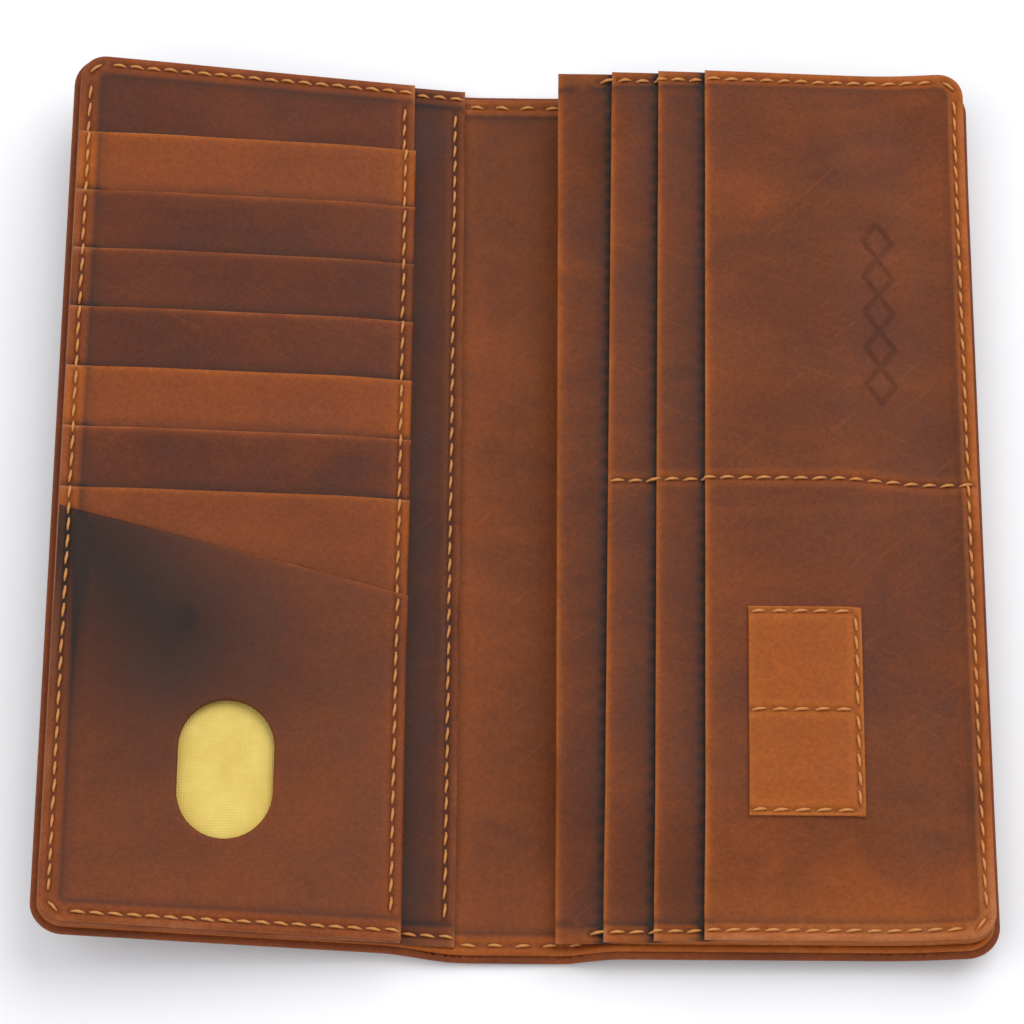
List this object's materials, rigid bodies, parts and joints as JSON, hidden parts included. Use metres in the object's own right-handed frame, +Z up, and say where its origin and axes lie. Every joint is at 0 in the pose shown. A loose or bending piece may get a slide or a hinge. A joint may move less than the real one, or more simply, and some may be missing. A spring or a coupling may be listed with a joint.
{
  "type": "phone wallet case",
  "caption": "Long folding leather phone case with a spine, card pockets, an ID pocket with a thumb hole, layered cash pockets and a phone pocket.",
  "frame": {"origin": "under the middle of the spine, on the surface that the open wallet lies on", "axes": "+X to the right across the open wallet, +Y along the folds to its top edge, +Z up out of the lining"},
  "size_m": [0.1892, 0.193, 0.0225],
  "materials": {
    "cover_leather": "waxed pull-up leather, satin",
    "lining_leather": "waxed pull-up leather, orange brown, satin",
    "panel_leather": "waxed pull-up leather, mid brown, satin",
    "light_leather": "waxed pull-up leather, rubbed lighter, satin",
    "dark_leather": "waxed pull-up leather, dark brown, satin",
    "tan_leather": "waxed pull-up leather, tan, satin",
    "yellow_lining": "smooth woven lining, matt",
    "thread": "waxed sewing thread, satin"
  },
  "bodies": {
    "right_half": {"cover_right": "cover_leather", "lining_right": "lining_leather", "phone_panel": "panel_leather", "cash_layer_1": "panel_leather", "cash_layer_2": "panel_leather", "cash_layer_3": "panel_leather", "sim_pocket": "tan_leather", "edge_thread_right": "thread", "divider_thread": "thread", "sim_pocket_thread": "thread"},
    "spine": {"cover_spine": "cover_leather", "lining_spine": "lining_leather", "edge_thread_spine": "thread"},
    "left_half": {"cover_left": "cover_leather", "lining_left": "lining_leather", "slip_panel": "panel_leather", "card_base": "panel_leather", "card_pocket_1": "light_leather", "card_pocket_2": "panel_leather", "card_pocket_3": "panel_leather", "card_pocket_4": "panel_leather", "card_pocket_5": "light_leather", "card_pocket_6": "panel_leather", "card_pocket_7": "light_leather", "id_pocket": "dark_leather", "id_pocket_lining": "yellow_lining", "edge_thread_left": "thread", "slip_panel_thread": "thread", "card_base_thread": "thread"}
  },
  "joints": [
    {"name": "right_fold", "type": "hinge", "parent": "right_half", "child": "spine", "pos_m": [0.0095, 0, 0.0025], "axis": [0, 1, 0], "range_deg": [0, 90]},
    {"name": "left_fold", "type": "hinge", "parent": "spine", "child": "left_half", "pos_m": [-0.0095, 0, 0.0025], "axis": [0, 1, 0], "range_deg": [-9.5, 80.5]}
  ]
}
